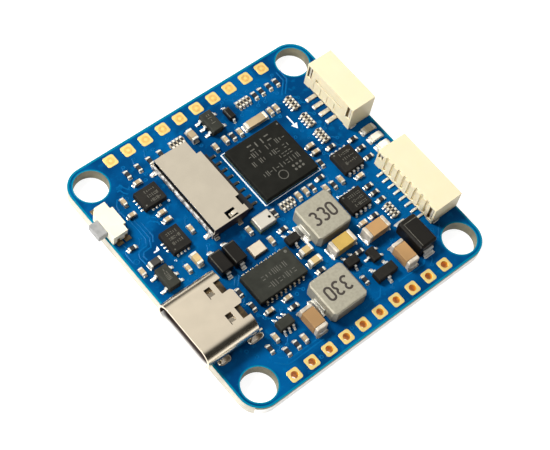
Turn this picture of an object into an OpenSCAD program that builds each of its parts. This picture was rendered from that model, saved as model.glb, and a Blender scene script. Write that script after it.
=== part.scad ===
// Flight controller board for a small drone: a square circuit board with its
// sockets, sensors, power parts and one side-push boot button.
// Origin: centre of the mounting holes, on the board's underside. +Z is up.

/* [Board] */
// Side of the square board
board_side = 36; // [36:0.5:40]
// Thickness of the board
board_t = 1.6; // [1.2:0.1:2]
// Radius of the board's corners
corner_r = 2.75; // [2.5:0.05:3]
// Distance between neighbouring mounting holes
hole_pitch = 30.5; // [30.5:0.1:31]
// Diameter of the mounting holes
hole_d = 4.2; // [3:0.1:4.2]

/* [Edge pads] */
// Number of pads in each row
pad_count = 10; // [4:1:10]
// Distance between neighbouring pads
pad_pitch = 2.54; // [2:0.01:2.54]
// Side of each square pad
pad_side = 1.5; // [1.2:0.1:1.6]
// Distance of both rows from the board's middle
pad_row = 16.7; // [16.4:0.1:16.9]
// Diameter of the plated holes in the lower row
pad_hole_d = 0.86; // [0.6:0.02:0.9]
// Thickness of the plated copper
copper_t = 0.04; // [0.03:0.01:0.08]

/* [USB socket] */
// Width of the socket's shell
usb_w = 8.94; // [8.9:0.02:9]
// Height of the socket's shell
usb_h = 3.16; // [3.1:0.02:3.26]
// Sheet thickness of the shell
usb_wall = 0.3; // [0.25:0.05:0.3]
// Middle of the socket along the board's edge
usb_y = -6.4; // [-7:0.1:-6]
// Mouth of the socket, just past the board's edge
usb_front = -18.9; // [-19.2:0.1:-18.5]
// Back edge of the shell
usb_back = -11.85; // [-12:0.05:-11.5]

/* [Memory card socket] */
// Width of the socket, across the card
card_w = 11.35; // [11.3:0.05:12]
// Depth of the socket, along the card
card_d = 5.2; // [5:0.1:6]
// Height of the socket
card_h = 1.85; // [1.8:0.05:2]
// Sheet thickness of the socket's cover
card_wall = 0.12; // [0.1:0.01:0.15]
// Distance between the card's contacts
card_pitch = 1.1; // [1.05:0.05:1.15]

/* [Connectors] */
// Height of the eight-pin connector
eight_h = 2.95; // [2.9:0.05:3.1]
// Height of the four-pin connector
four_h = 4.05; // [4:0.05:4.3]
// Pin distance of the eight-pin connector
eight_pitch = 1; // [0.9:0.05:1]
// Pin distance of the four-pin connector
four_pitch = 1.25; // [1.2:0.05:1.25]

/* [Boot button] */
// Height of the switch
switch_h = 1.5; // [1.4:0.05:1.7]
// Travel of the button
button_travel = 0.25; // [0.15:0.05:0.25]
// Running gap all round the button
button_gap = 0.05; // [0.03:0.01:0.08]

/* [Processor and power parts] */
// Side of the square processor
cpu_side = 8; // [7:0.5:8]
// Balls along each side of the processor
cpu_balls = 10; // [6:1:10]
// Side of the square inductors
coil_side = 5; // [4.5:0.1:5]
// Height of the inductors
coil_h = 2; // [1.8:0.1:2.5]

/* [Hidden] */
$fn = 48;
top = board_t;
cut = 0.5;

// Placements are [x, y, turn] on the board's top face.
resistor_spots = [
    [-11, 14, 90], [-9.4, 14, 90], [-7.75, 14, 90], [-6.15, 14, 90],
    [8.15, 14, 90], [9.2, 14, 90], [10.4, 14, 90], [11.55, 14, 90],
    [2.3, 11, 90], [-10.1, -5.45, 90], [-10, -7.65, 90], [-11.7, -12.8, 90],
    [-10.35, -14.15, 90], [-8.95, -14.15, 90], [5.5, 0.1, 90], [7.8, -1.1, 90],
    [8.5, 2, 90], [2.5, -12.7, 90], [-0.35, 0.1, 90], [-16.35, 6, 0],
    [-6.2, -10.4, 0], [-0.95, -2.15, 0], [7.1, 0.55, 0], [11, 3.05, 0],
    [13.9, 2.35, 0], [13.9, 0.85, 0], [13.9, -0.65, 0], [11.1, -3.65, 0],
    [11.1, -4.75, 0], [11.1, -5.9, 0], [8.95, -7.05, 0], [4.35, -9.6, 0],
    [-0.8, -8.8, 0]
];
small_capacitor_spots = [
    [-13.6, 11.3, 90], [-9.5, 4.1, 90], [-17.25, 2.95, 90], [-12.85, 0.3, 90],
    [-4.2, 0, 90], [-2.95, -2.5, 90], [-10.35, -12.1, 90], [-7.8, -14.1, 90],
    [-0.35, 10.95, 90], [1.25, 11.1, 90], [3.35, 10.95, 90], [8.2, 11.1, 90],
    [9.1, 11.1, 90], [3.4, 0.15, 90], [4.5, 0.15, 90], [6.7, -1, 90],
    [8.95, -1.1, 90], [-10.75, 12.45, 0], [-13.85, 9.4, 0], [-10.85, 7.7, 0],
    [-10.9, 6.6, 0], [-8.8, -9.25, 0], [-6.15, -9.2, 0], [9, 4.6, 0],
    [9, 3.55, 0], [11.15, -2.05, 0], [7.2, -7.05, 0]
];
medium_capacitor_spots = [[-11.4, 0.6, 90], [-1.7, 13.8, 90], [-0.65, -5.9, 0], [-0.65, -7.5, 0]];
long_capacitor_spots = [[5.8, 11, 0]];
large_capacitor_spots = [[-5.8, -13.1, 90], [7.6, -8.7, 0], [8.15, -13.1, 90], [3.15, -7.8, 0]];
array_spots = [
    [-3.7, 14.1, 0], [6.35, 14, 0], [1.65, 0.1, 0], [11.15, 10.55, 90],
    [11.15, 7.6, 90], [11.15, 4.9, 90], [11.15, -7.7, 90]
];
bead_spots = [[-15.4, 3, 0]];
led_spots = [for (i = [-1 : 1]) [16.35, 0.95 + 1.38 * i, 0]];
coil_spots = [[3.35, -3.95, 0], [-1.5, -12.15, 0]];
motion_spots = [[-10.8, 10.05, 0], [-11.9, 3.95, 90]];
five_lead_spots = [[-15.55, 0.6, 0], [1.2, 13.8, 180]];
three_lead_spots = [[4.9, -13.4, 90]];
tiny_three_lead_spots = [[2.7, -10.1, 90], [-0.95, -3.85, 90], [5.3, -10.9, 0]];

// Chip sizes are [length, width, height, length of each end cap].
resistor_size = [1, 0.5, 0.35, 0.22];
small_capacitor_size = [1, 0.5, 0.5, 0.24];
medium_capacitor_size = [1.6, 0.8, 0.8, 0.35];
long_capacitor_size = [3.2, 1, 0.7, 0.4];
large_capacitor_size = [3.2, 1.6, 1.5, 0.5];
bead_size = [1.6, 0.8, 0.7, 0.27];
led_size = [1.7, 0.85, 0.55, 0.3];
array_size = [2, 1, 0.45, 0.29];
array_pitch = 0.5;

// USB socket.
usb_mid_z = top + usb_h / 2;
usb_leg_y = usb_w / 2 - 0.13;
usb_legs = [[-16.5, 1.7], [-12.05, 2.1]];
leg_pad_w = 1;
leg_plating = 0.1;
leg_hole_w = 0.6;
tongue_front = usb_front + 0.8;
tongue_base = -14.6;
usb_plug_back = usb_back - 0.15;
tongue_w = 6.7;
tongue_t = 0.7;

// Memory card socket.
card_x = -8.05;
card_y = 1.65;
card_pin_y = 2.5;
card_pins = 8;
card_pin_w = 0.3;
card_slot_z = 0.97;
card_lip = 0.22;
card_back = card_x + card_d - card_wall;
card_foot = 0.35;
latch_root = -4.45;
card_tail = -1.12;
card_heel = -1.9;

// Connectors: [left, right, low end, high end].
eight_box = [13.8, 18, -11.8, -1.7];
four_box = [14.4, 17.95, 3.8, 12.05];
tab_t = 0.28;
tab_inset = 0.35;
tab_back = 0.14;
eight_tab_h = eight_h - 0.32;
four_tab_h = four_h - 0.32;
tail_t = 0.18;
tail_mouth = 0.32;

// Boot switch.
switch_left = -17.75;
switch_right = -15.4;
switch_low = 7.65;
switch_high = 12.1;
button_y = 9.75;
button_w = 2;
button_z = 0.35;
button_h = 0.95;
button_tip = -18.95;
switch_wall = 0.5;
switch_floor = 0.25;
flange_w = 2.5;
dome_tip = -16.4;
flange_back = dome_tip - 0.1 - button_travel;
switch_inner = -16;

// Small shared shapes.
module block(low, high) translate(low) cube(high - low);

module rounded_square(x, y, r) {
    square([x - 2 * r, y], center = true);
    square([x, y - 2 * r], center = true);
    for (sx = [-1, 1], sy = [-1, 1])
        translate([sx * (x / 2 - r), sy * (y / 2 - r)]) circle(r);
}

module slot_outline(length, width) {
    square([length - width, width], center = true);
    for (s = [-1, 1]) translate([s * (length - width) / 2, 0]) circle(width / 2);
}

module on_board(spots) for (s = spots) translate([s[0], s[1], top]) rotate(s[2]) children();

// A profile drawn in X and Z, spread evenly along Y.
module along_y(width) rotate([90, 0, 0]) translate([0, 0, -width / 2]) linear_extrude(width) children();

// A block whose upright and top edges are cut at 45 degrees.
module bevelled(x, y, z, c) intersection() {
    along_y(y) polygon([
        [-x / 2, 0], [x / 2, 0], [x / 2, z - c], [x / 2 - c, z], [c - x / 2, z], [-x / 2, z - c]
    ]);
    rotate(90) along_y(x) polygon([
        [-y / 2, 0], [y / 2, 0], [y / 2, z - c], [y / 2 - c, z], [c - y / 2, z], [-y / 2, z - c]
    ]);
    linear_extrude(z) cut_corners(x, y, c);
}

// A rectangle whose corners are cut at 45 degrees.
module cut_corners(x, y, c) polygon([
    [c - x / 2, -y / 2], [x / 2 - c, -y / 2], [x / 2, c - y / 2], [x / 2, y / 2 - c],
    [x / 2 - c, y / 2], [c - x / 2, y / 2], [-x / 2, y / 2 - c], [-x / 2, c - y / 2]
]);

module chip_middle(size) translate([-size[0] / 2 + size[3], -size[1] / 2, 0])
    cube([size[0] - 2 * size[3], size[1], size[2]]);

module chip_ends(size) for (s = [0, 1]) mirror([s, 0, 0])
    translate([size[0] / 2 - size[3], -size[1] / 2, 0]) cube([size[3], size[1], size[2]]);

// A bent lead that leaves a body's side at x = side and ends at x = reach.
module bent_lead(side, reach, shoulder, width) {
    t = 0.15;
    knee = side + 0.12;
    along_y(width) polygon([
        [side, shoulder + t / 2], [knee + t, shoulder + t / 2], [knee + t, t], [reach, t],
        [reach, 0], [knee, 0], [knee, shoulder - t / 2], [side, shoulder - t / 2]
    ]);
}

// A row of bent leads on the +X side.
module lead_row(count, pitch, side, reach, shoulder, width)
    for (i = [0 : count - 1]) translate([0, (i - (count - 1) / 2) * pitch, 0])
        bent_lead(side, reach, shoulder, width);

// A moulded body that stands a little clear of the board.
module moulded(x, y, z, c = 0.08) {
    lift = 0.08;
    translate([0, 0, lift]) bevelled(x, y, z - lift, c);
}

function pad_xs() = [for (i = [0 : pad_count - 1]) (i - (pad_count - 1) / 2) * pad_pitch];

// Board with its mounting holes, plated holes, slots and shallow pad pockets.
module circuit_board() color("#0a5fa6") difference() {
    linear_extrude(board_t) difference() {
        rounded_square(board_side, board_side, corner_r);
        for (sx = [-1, 1], sy = [-1, 1])
            translate([sx, sy] * hole_pitch / 2) circle(hole_d / 2);
        for (x = pad_xs()) translate([x, -pad_row]) circle(pad_hole_d / 2 + leg_plating);
        usb_leg_spots() slot_outline($leg - 0.2, leg_pad_w - 0.2);
    }
    for (x = pad_xs()) translate([x, -pad_row, -cut])
        linear_extrude(cut + copper_t) rounded_square(pad_side, pad_side, 0.3);
    translate([0, 0, -cut]) linear_extrude(cut + copper_t)
        usb_leg_spots() slot_outline($leg, leg_pad_w);
}

// Puts a flat outline at each slot of the USB shell's legs.
module usb_leg_spots() for (l = usb_legs, s = [-1, 1]) {
    $leg = l[1];
    translate([l[0], usb_y + s * usb_leg_y]) children();
}

module top_edge_pads() color("#f3cf7c") for (x = pad_xs())
    translate([x, pad_row, top]) linear_extrude(copper_t) rounded_square(pad_side, pad_side, 0.3);

module bottom_edge_pads() color("#dda53c") for (x = pad_xs()) translate([x, -pad_row, 0])
    difference() {
        union() {
            for (z = [0, top]) translate([0, 0, z])
                linear_extrude(copper_t) rounded_square(pad_side, pad_side, 0.3);
            cylinder(h = board_t, r = pad_hole_d / 2 + leg_plating);
        }
        translate([0, 0, -cut]) cylinder(h = board_t + 2 * cut, r = pad_hole_d / 2);
    }

module shell_leg_pads() color("#c9ccce") difference() {
    union() {
        for (z = [0, top]) translate([0, 0, z])
            linear_extrude(copper_t) usb_leg_spots() slot_outline($leg, leg_pad_w);
        linear_extrude(board_t) usb_leg_spots() slot_outline($leg - 0.2, leg_pad_w - 0.2);
    }
    translate([0, 0, -cut]) linear_extrude(board_t + 2 * cut)
        usb_leg_spots() slot_outline($leg - 0.4, leg_hole_w);
}

// Outline of the USB shell, run along X from one place to another.
module usb_run(from, to, wall) translate([from, usb_y, usb_mid_z]) rotate([90, 0, 90])
    linear_extrude(to - from) slot_outline(usb_w - 2 * wall, usb_h - 2 * wall);

module usb_shell() color("#d9ccb3") {
    roof = top + usb_h;
    difference() {
        union() {
            usb_run(usb_front, usb_back, 0);
            for (l = usb_legs, s = [-1, 1])
                translate([l[0], usb_y + s * (usb_leg_y - 0.005), (usb_mid_z + 0.1) / 2])
                    cube([l[1] - 0.7, 0.22, usb_mid_z - 0.1], center = true);
        }
        usb_run(usb_front - cut, usb_back + cut, usb_wall);
        // Two spring windows, two notches in the back of the roof, and the room
        // for the contact tails in the back of the floor.
        for (s = [-1, 1]) translate([0, usb_y + s * 1.85, 0]) {
            block([-14.3, -0.67, roof - usb_wall - 0.1], [-13.5, 0.67, roof + cut]);
            block([-12.85, -0.82, roof - usb_wall - 0.1], [usb_back + cut, 0.82, roof + cut]);
        }
        block([usb_plug_back - 0.1, usb_y - 3.2, 0], [usb_back + cut, usb_y + 3.2, top + 0.8]);
    }
    // Springs that slope down across the two windows to a hole, and the middle tail.
    for (s = [-1, 1]) translate([-14.22, usb_y + s * 1.85, roof - usb_wall]) rotate([90, 0, 90])
        linear_extrude(0.75) polygon([[-0.7, 0], [0.15, 0], [0.15, 0.08], [-0.45, usb_wall], [-0.7, usb_wall]]);
    translate([usb_back, usb_y, roof - usb_wall]) linear_extrude(usb_wall)
        polygon([[0, -1.03], [0, 1.03], [0.25, 0.75], [0.25, -0.75]]);
}

module usb_tongue() color("#26262a") {
    usb_run(tongue_base, usb_plug_back, usb_wall);
    translate([tongue_front, usb_y - tongue_w / 2, usb_mid_z - tongue_t / 2])
        cube([tongue_base - tongue_front, tongue_w, tongue_t]);
}

module usb_contacts() color("#e0b454") {
    for (i = [0 : 11], s = [-1, 1]) {
        y = usb_y + (i - 5.5) * 0.5;
        translate([tongue_front + 0.3, y - 0.13, usb_mid_z + s * (tongue_t / 2 + 0.03) - 0.03])
            cube([tongue_base - tongue_front - 0.3, 0.26, 0.06]);
    }
    translate([0, usb_y, top]) lead_row(12, 0.5, usb_plug_back, usb_plug_back + 0.75, 0.6, 0.24);
}

// Memory card socket: its mouth faces -X.
module card_socket_shell() color("#d2c6ad") {
    difference() {
        block([card_x, card_y, top + 0.1], [card_x + card_d, card_y + card_w, top + card_h]);
        block([card_x - cut, card_y + card_wall, top - cut],
              [card_x + card_d - card_wall, card_y + card_w - card_wall, top + card_h - card_wall]);
        // Corner notches, the latch window and the open lower back.
        block([-3.45, 10.9, 0], [cut, 14, 5]);
        block([-3.4, 2.5, 0], [cut, 3.8, 5]);
        block([-3.15, 0, 0], [cut, 2.6, 5]);
        block([-5.8, 1.85, top + 1], [latch_root, 2.9, 5]);
        block([-3.2, 0, 0], [cut, 14, top + 0.75]);
    }
    // Latch tongue, bent down into its window.
    translate([latch_root, 2.32, top + card_h - card_wall]) along_y(0.5)
        polygon([[0, 0], [0, card_wall], [-0.6, 0], [-0.95, -0.22], [-0.95, -0.32]]);
    // Lip below the mouth, held at both ends.
    block([card_x - card_lip, card_y + 0.35, top + 0.47],
          [card_x, card_y + card_w - 0.35, top + card_slot_z]);
    for (y = [card_y, card_y + card_w - card_wall])
        block([card_x - card_lip, y, top + 0.1], [card_x, y + card_wall, top + card_slot_z]);
    for (y = [card_y, card_y + card_w - 0.35])
        block([card_x - card_lip, y, top + 0.45], [card_x, y + 0.35, top + card_slot_z]);
    // Feet that are soldered to the board: at the sides and beside the mouth.
    for (x = [card_x, -4.6], y = [card_y - card_foot, card_y + card_w])
        block([x, y, top], [x + 0.6, y + card_foot, top + 0.15]);
    for (x = [card_x, -4.6], y = [card_y - 0.1, card_y + card_w])
        block([x, y, top], [x + 0.6, y + 0.1, top + 0.6]);
    for (y = [card_y + 0.35, card_y + card_w - 0.95]) {
        block([card_x - 0.45, y, top], [card_x + 0.02, y + 0.6, top + 0.15]);
        block([card_x - 0.15, y, top], [card_x + 0.02, y + 0.6, top + 0.5]);
    }
}

module card_socket_base() color("#1d1c20") {
    inner_low = card_y + card_wall;
    inner_high = card_y + card_w - card_wall;
    difference() {
        union() {
            block([card_x + 0.02, inner_low, top], [card_back, inner_high, top + 0.45]);
            block([-3.35, 3.85, top], [card_back, 10.85, top + card_h - card_wall]);
            block([-3.95, inner_low, top], [-3.45, 3.6, top + card_h - card_wall]);
            block([-3.95, inner_low, top], [-3.2, 3.85, top + 1.1]);
            block([-3.2, 2, top], [card_heel, 10.85, top + 0.45]);
        }
        // Open grooves for the contacts, and the tunnels their tails leave by.
        for (i = [0 : card_pins - 1]) translate([0, card_pin_y + i * card_pitch, 0]) {
            block([-7.3, -0.3, top - cut], [-3.25, 0.3, top + 0.5]);
            block([-3.3, -0.2, top - cut], [card_heel + cut, 0.2, top + 0.3]);
        }
    }
    // Short teeth along the mouth, under the cover's lip.
    for (i = [0 : card_pins - 1])
        block([card_x - 0.14, card_pin_y + 0.3 + i * card_pitch, top],
              [card_x + 0.02, card_pin_y + 0.8 + i * card_pitch, top + 0.4]);
}

module card_socket_contacts() color("#d9b15a") for (i = [0 : card_pins - 1])
    translate([0, card_pin_y + i * card_pitch, top]) {
        along_y(card_pin_w) polygon([
            [card_tail, 0], [card_tail, 0.15], [-2.6, 0.15], [-3.8, 0.35], [-6.4, 0.95],
            [-6.9, 0.7], [-6.8, 0.65], [-6.4, 0.83], [-3.8, 0.22], [-2.65, 0]
        ]);
    }

// Processor in a ball-grid package.
module processor_cap() color("#26262a") translate([3.65, 5.5, top + 0.5])
    bevelled(cpu_side - 0.04, cpu_side - 0.04, 0.62, 0.1);

module processor_substrate() color("#1f3a2c") translate([3.65, 5.5, top + 0.375])
    cube([cpu_side, cpu_side, 0.25], center = true);

module processor_solder_balls() color("#b9bbbd")
    for (i = [0 : cpu_balls - 1], j = [0 : cpu_balls - 1])
        translate([3.65, 5.5, top] + [i - (cpu_balls - 1) / 2, j - (cpu_balls - 1) / 2, 0] * 0.76)
            cylinder(h = 0.25, r = 0.2, $fn = 24);

// Boot switch: the button slides in along +X against a snap dome.
module switch_outline() polygon([
    [switch_left, switch_low], [-15.75, switch_low], [-15.75, 8.55], [switch_right, 8.55],
    [switch_right, 11.05], [-15.75, 11.05], [-15.75, switch_high], [-17.2, switch_high],
    [switch_left, 11.5]
]);

module boot_switch_case() color("#f4f1e4") difference() {
    translate([0, 0, top + switch_floor]) linear_extrude(switch_h - switch_floor) switch_outline();
    block([switch_left + switch_wall, button_y - 1.35, top], [switch_inner, button_y + 1.35, top + 1.35]);
    block([switch_left - cut, button_y - button_w / 2 - button_gap, top + button_z - button_gap],
          [switch_left + switch_wall + cut, button_y + button_w / 2 + button_gap,
           top + button_z + button_h + button_gap]);
}

module boot_switch_base() color("#e3dfd0") translate([0, 0, top])
    linear_extrude(switch_floor) switch_outline();

module boot_switch_terminals() color("#cfd0d2")
    for (x = [-17, -15.95], s = [0, 1]) {
        end = s == 0 ? switch_low : switch_high;
        translate([x, end, top]) mirror([0, s, 0]) {
            block([-0.4, -0.55, 0], [0.4, 0, 0.15]);
            block([-0.25, -0.1, 0.15], [0.1, 0, 0.8]);
        }
    }

module boot_switch_dome() color("#c7c9cb") {
    r = 2;
    intersection() {
        translate([dome_tip + r, button_y, top + 0.8]) difference() {
            sphere(r);
            sphere(r - 0.06);
        }
        block([-17, button_y - 1.2, top + switch_floor], [switch_inner, button_y + 1.2, top + 1.35]);
    }
}

module boot_button() color("#8f8f8d") {
    front = switch_left + switch_wall + 0.03;
    block([button_tip, button_y - button_w / 2, top + button_z],
          [front + 0.3, button_y + button_w / 2, top + button_z + button_h]);
    block([front, button_y - flange_w / 2, top + button_z],
          [flange_back, button_y + flange_w / 2, top + button_z + button_h]);
}

// Profile of one connector pin: foot, riser and blade.
module connector_pin(left, foot, blade_end, blade_z, width) along_y(width) polygon([
    [foot, top], [left + 0.6, top], [left + 0.6, blade_z - 0.1], [blade_end, blade_z - 0.1],
    [blade_end, blade_z + 0.1], [left + 0.42, blade_z + 0.1], [left + 0.42, top + tail_t],
    [foot, top + tail_t]
]);

module pin_spots(count, pitch, box) for (i = [0 : count - 1])
    translate([0, (box[2] + box[3]) / 2 + (i - (count - 1) / 2) * pitch, 0]) children();

module eight_pins() pin_spots(8, eight_pitch, eight_box)
    connector_pin(eight_box[0], 13, 17.2, top + 1.45, 0.3);

module four_pins() pin_spots(4, four_pitch, four_box)
    connector_pin(four_box[0], 13.05, 17.2, top + 1.9, 0.55);

// Plate that holds a connector's end to the board, with a foot that sticks out.
module anchor(box, tall, side) {
    end = side == 0 ? box[2] : box[3];
    translate([box[0], end, top]) mirror([0, side, 0]) {
        block([tab_back, tab_inset, 0], [1.3, tab_inset + tab_t, tall]);
        block([0.5, -0.12, 0], [1.3, tab_inset, 0.15]);
    }
}

// Slot for such a plate, and a window in the housing's back that shows its edge.
module anchor_room(box, tall, side, window) {
    end = side == 0 ? box[2] : box[3];
    translate([box[0], end, top]) mirror([0, side, 0]) {
        block([tab_back, tab_inset, -cut], [1.3, tab_inset + tab_t, tall + 0.2]);
        block([0.5, -cut, -cut], [1.3, tab_inset, 0.15]);
        block([-cut, tab_inset - 0.12, tall - window], [tab_back + 0.3, tab_inset + tab_t + 0.3, tall + 0.05]);
    }
}

// Gap between the back of a housing and the board, where the feet come out.
module back_gap(box) block([box[0] - cut, box[2] + 0.9, top - cut], [box[0] + 0.3, box[3] - 0.9, top + 0.2]);

module eight_pin_housing() color("#f8eecb") difference() {
    block([eight_box[0], eight_box[2], top], [eight_box[1], eight_box[3], top + eight_h]);
    block([14.8, eight_box[2] + 0.8, top + 0.5], [eight_box[1] + cut, eight_box[3] - 0.8, top + 2.35]);
    // Key slots in the mouth's floor and the ribs of the back edge.
    for (y = [eight_box[2] + 1.3, eight_box[3] - 2.1])
        block([16.2, y, top - cut], [eight_box[1] + cut, y + 0.8, top + 0.6]);
    pin_spots(8, eight_pitch, eight_box)
        block([eight_box[0] - cut, -0.18, top + 0.55], [eight_box[0] + 0.28, 0.18, top + eight_h + cut]);
    pin_spots(8, eight_pitch, eight_box)
        block([eight_box[0] - cut, -0.2, top - cut], [eight_box[0] + 0.42, 0.2, top + tail_mouth]);
    eight_pins();
    for (side = [0, 1]) anchor_room(eight_box, eight_tab_h, side, side == 0 ? 2.2 : 0.8);
    back_gap(eight_box);
}

module eight_pin_contacts() color("#cfd0c8") eight_pins();

module eight_pin_anchors() color("#c4c4bc") for (side = [0, 1]) anchor(eight_box, eight_tab_h, side);

module four_pin_housing() color("#f8eecb") difference() {
    block([four_box[0], four_box[2], top], [four_box[1], four_box[3], top + four_h]);
    block([15.3, four_box[2] + 0.9, top + 0.6], [four_box[1] + cut, four_box[3] - 0.9, top + 3.3]);
    // Ledge line and its notch, latch window, pin openings and shallow grooves.
    block([four_box[0] - cut, 5.6, top + 2.3], [four_box[0] + 0.3, 10.3, top + 2.55]);
    block([four_box[0] - cut, 9.9, top + 2.2], [four_box[0] + 0.6, 10.4, top + 2.75]);
    block([16.6, 6.7, top + 0.1], [four_box[1] + cut, 9.1, top + 1]);
    pin_spots(4, four_pitch, four_box) {
        block([four_box[0] - cut, -0.3, top - cut], [four_box[0] + 0.42, 0.3, top + tail_mouth]);
        block([four_box[0] - cut, 0.5, top + 0.6], [four_box[0] + 0.08, 0.75, top + 1.9]);
    }
    four_pins();
    for (side = [0, 1]) anchor_room(four_box, four_tab_h, side, 1.95);
    back_gap(four_box);
}

module four_pin_contacts() color("#cfd0c8") four_pins();

module four_pin_anchors() color("#c4c4bc") for (side = [0, 1]) anchor(four_box, four_tab_h, side);

// Inductors: a pressed core with its winding sealed inside.
module coil_ring() translate([0, 0, 0.45]) difference() {
    cylinder(h = coil_h - 0.85, r = 1.9);
    translate([0, 0, -cut]) cylinder(h = coil_h + cut, r = 0.95);
}

module inductor_cores() color("#a29b8e") on_board(coil_spots) difference() {
    intersection() {
        bevelled(coil_side, coil_side, coil_h, 0.15);
        linear_extrude(coil_h) cut_corners(coil_side, coil_side, 0.42);
    }
    coil_ring();
}

module inductor_windings() color("#b8652c") on_board(coil_spots) coil_ring();

module inductor_terminals() color("#c6c8ca") on_board(coil_spots) for (s = [0, 1])
    mirror([s, 0, 0]) translate([coil_side / 2, 0, 0]) {
        block([0, -1.2, 0], [0.42, 1.2, 0.15]);
        block([0, -0.9, 0.15], [0.12, 0.9, 0.9]);
    }

// Motion sensors in leadless packages, with their side pads.
module motion_sensors() color("#2b2b2e") on_board(motion_spots) translate([0, 0, copper_t])
    bevelled(3, 2.5, 0.86, 0.05);

module motion_sensor_pads() color("#c9c3a6") on_board(motion_spots) {
    for (s = [0, 1], i = [-1.5 : 1.5]) mirror([s, 0, 0])
        block([1.2, i * 0.5 - 0.12, 0], [1.65, i * 0.5 + 0.12, copper_t]);
    for (s = [0, 1], i = [-1 : 1]) mirror([0, s, 0])
        block([i * 0.5 - 0.12, 0.95, 0], [i * 0.5 + 0.12, 1.4, copper_t]);
}

module pressure_sensor_base() color("#3a3a33") translate([-2.15, -0.1, top + 0.15])
    cube([2.5, 2, 0.3], center = true);

module pressure_sensor_lid() color("#c9c7be") translate([-2.15, -0.1, top + 0.3]) difference() {
    bevelled(2.35, 1.85, 0.65, 0.1);
    translate([0, 0, -cut]) bevelled(2.15, 1.65, 0.55 + cut, 0.05);
    translate([0.7, -0.1, 0]) cylinder(h = 2, r = 0.18);
}

module crystal_base() color("#4a443a") translate([-5, -2.4, top + 0.15])
    cube([2, 1.6, 0.3], center = true);

module crystal_lid() color("#d8d0bd") translate([-5, -2.4, top + 0.3])
    bevelled(1.8, 1.4, 0.2, 0.04);

// Video overlay chip with leads along both long sides.
module display_chip() color("#29292c") translate([-5.75, -6.22, top]) moulded(6.85, 3.95, 0.95);

module display_chip_leads() color("#c9cbcd") translate([-5.75, -6.22, top])
    for (s = [90, -90]) rotate(s) lead_row(9, 0.66, 1.975, 2.3, 0.45, 0.22);

// Step-down converter and current amplifier.
module power_chips() color("#29292c") {
    translate([8.3, -4.35, top]) moulded(3, 2.6, 0.9);
    translate([11.25, 0.45, top]) moulded(3, 3, 0.85);
}

module power_chip_leads() color("#c9cbcd") {
    for (s = [90, -90]) translate([8.3, -4.35, top]) rotate(s) lead_row(4, 0.7, 1.3, 1.6, 0.4, 0.3);
    for (s = [90, -90]) translate([11.25, 0.45, top]) rotate(s) lead_row(4, 0.65, 1.5, 1.78, 0.4, 0.28);
}

// Small regulators: two with five leads and one with six.
module small_regulators() color("#2b2b2e") {
    on_board(five_lead_spots) moulded(1.6, 2.9, 1.1);
    translate([-8.5, -11.45, top]) moulded(2, 1.25, 0.95);
}

module small_regulator_leads() color("#c9cbcd") {
    on_board(five_lead_spots) {
        rotate(180) lead_row(2, 1.9, 0.8, 1.4, 0.5, 0.38);
        lead_row(3, 0.95, 0.8, 1.4, 0.5, 0.38);
    }
    for (s = [90, -90]) translate([-8.5, -11.45, top]) rotate(s)
        lead_row(3, 0.65, 0.625, 1.1, 0.45, 0.25);
}

// Transistors: two leads on one side, one on the other.
module transistors() color("#2b2b2e") {
    on_board(three_lead_spots) moulded(1.3, 2.9, 1);
    on_board(tiny_three_lead_spots) moulded(1.1, 1.7, 0.8);
}

module transistor_leads() color("#c9cbcd") {
    on_board(three_lead_spots) {
        lead_row(2, 1.9, 0.65, 1.25, 0.5, 0.4);
        rotate(180) lead_row(1, 1, 0.65, 1.25, 0.5, 0.4);
    }
    on_board(tiny_three_lead_spots) {
        lead_row(2, 1, 0.55, 1.05, 0.4, 0.3);
        rotate(180) lead_row(1, 1, 0.55, 1.05, 0.4, 0.3);
    }
}

module diodes() color("#2b2b2e") {
    for (x = [-9.65, -7.65]) translate([x, -1.45, top]) moulded(1.7, 2.7, 1.2);
    translate([3.85, 13.65, top]) moulded(0.9, 1.6, 0.7);
}

module diode_leads() color("#c9cbcd") {
    for (x = [-9.65, -7.65], s = [90, -90])
        translate([x, -1.45, top]) rotate(s) lead_row(1, 1, 1.35, 1.9, 0.5, 0.6);
    for (s = [90, -90]) translate([3.85, 13.65, top]) rotate(s) lead_row(1, 1, 0.8, 1.15, 0.35, 0.3);
}

module power_diode() color("#2b2b2e") translate([10.85, -12.1, top])
    moulded(2.55, 4.2, 2.05, 0.22);

module power_diode_leads() color("#c9cbcd") for (s = [90, -90])
    translate([10.85, -12.1, top]) rotate(s) lead_row(1, 1, 2.1, 2.6, 0.8, 1.45);

module resistors() color("#1f1f22") on_board(resistor_spots) chip_middle(resistor_size);

module resistor_terminals() color("#d4d6d8") on_board(resistor_spots) chip_ends(resistor_size);

module small_capacitors() color("#c9a184") on_board(small_capacitor_spots)
    chip_middle(small_capacitor_size);

module small_capacitor_terminals() color("#d4d6d8") on_board(small_capacitor_spots)
    chip_ends(small_capacitor_size);

module medium_capacitors() color("#c79a68") {
    on_board(medium_capacitor_spots) chip_middle(medium_capacitor_size);
    on_board(long_capacitor_spots) chip_middle(long_capacitor_size);
}

module medium_capacitor_terminals() color("#d4d6d8") {
    on_board(medium_capacitor_spots) chip_ends(medium_capacitor_size);
    on_board(long_capacitor_spots) chip_ends(long_capacitor_size);
}

module large_capacitors() color("#c08a52") on_board(large_capacitor_spots)
    chip_middle(large_capacitor_size);

module large_capacitor_terminals() color("#d4d6d8") on_board(large_capacitor_spots)
    chip_ends(large_capacitor_size);

module resistor_arrays() color("#1f1f22") on_board(array_spots)
    translate([-array_size[0] / 2, array_size[3] - array_size[1] / 2, 0])
        cube([array_size[0], array_size[1] - 2 * array_size[3], array_size[2]]);

module resistor_array_terminals() color("#d4d6d8") on_board(array_spots)
    for (s = [0, 1], i = [-1.5 : 1.5]) mirror([0, s, 0])
        translate([i * array_pitch - 0.15, array_size[1] / 2 - array_size[3], 0])
            cube([0.3, array_size[3], array_size[2]]);

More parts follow.
